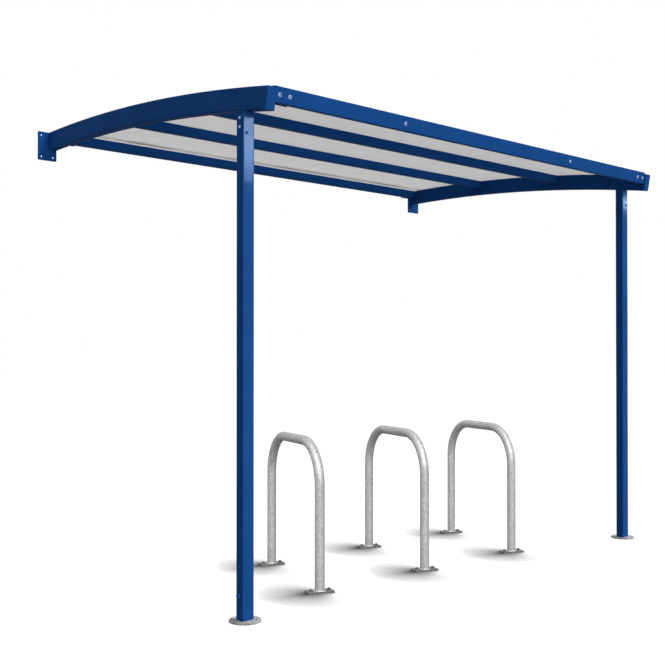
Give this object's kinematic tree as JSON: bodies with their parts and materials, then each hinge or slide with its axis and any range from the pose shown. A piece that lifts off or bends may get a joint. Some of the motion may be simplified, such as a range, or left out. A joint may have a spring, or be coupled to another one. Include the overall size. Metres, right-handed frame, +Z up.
{
  "type": "bicycle shelter",
  "caption": "Wall-side bicycle shelter: front posts and curved side arches carry purlins and an opal sheet roof over bent-tube parking hoops.",
  "frame": {"origin": "centre of the left post's foot, on the ground", "axes": "+X to the right along the front, +Y to the wall, +Z up"},
  "size_m": [3.12, 2.0277, 2.4123],
  "materials": {
    "blue_powder_coat": "satin",
    "galvanised_steel": "hot-dip galvanised, dull",
    "opal_sheet": "opal, satin"
  },
  "bodies": {
    "root": {"left_post": "blue_powder_coat", "left_base_flange": "galvanised_steel", "left_arch": "blue_powder_coat", "left_front_cap": "blue_powder_coat", "left_wall_plate": "blue_powder_coat", "right_post": "blue_powder_coat", "right_base_flange": "galvanised_steel", "right_arch": "blue_powder_coat", "right_front_cap": "blue_powder_coat", "right_wall_plate": "blue_powder_coat", "front_beam": "blue_powder_coat", "front_beam_cleats": "blue_powder_coat", "front_purlin": "blue_powder_coat", "front_purlin_cleats": "blue_powder_coat", "middle_purlin": "blue_powder_coat", "middle_purlin_cleats": "blue_powder_coat", "rear_purlin": "blue_powder_coat", "rear_purlin_cleats": "blue_powder_coat", "roof_sheet": "opal_sheet", "left_hoop": "galvanised_steel", "left_hoop_front_foot": "galvanised_steel", "left_hoop_rear_foot": "galvanised_steel", "middle_hoop": "galvanised_steel", "middle_hoop_front_foot": "galvanised_steel", "middle_hoop_rear_foot": "galvanised_steel", "right_hoop": "galvanised_steel", "right_hoop_front_foot": "galvanised_steel", "right_hoop_rear_foot": "galvanised_steel"}
  },
  "joints": []
}
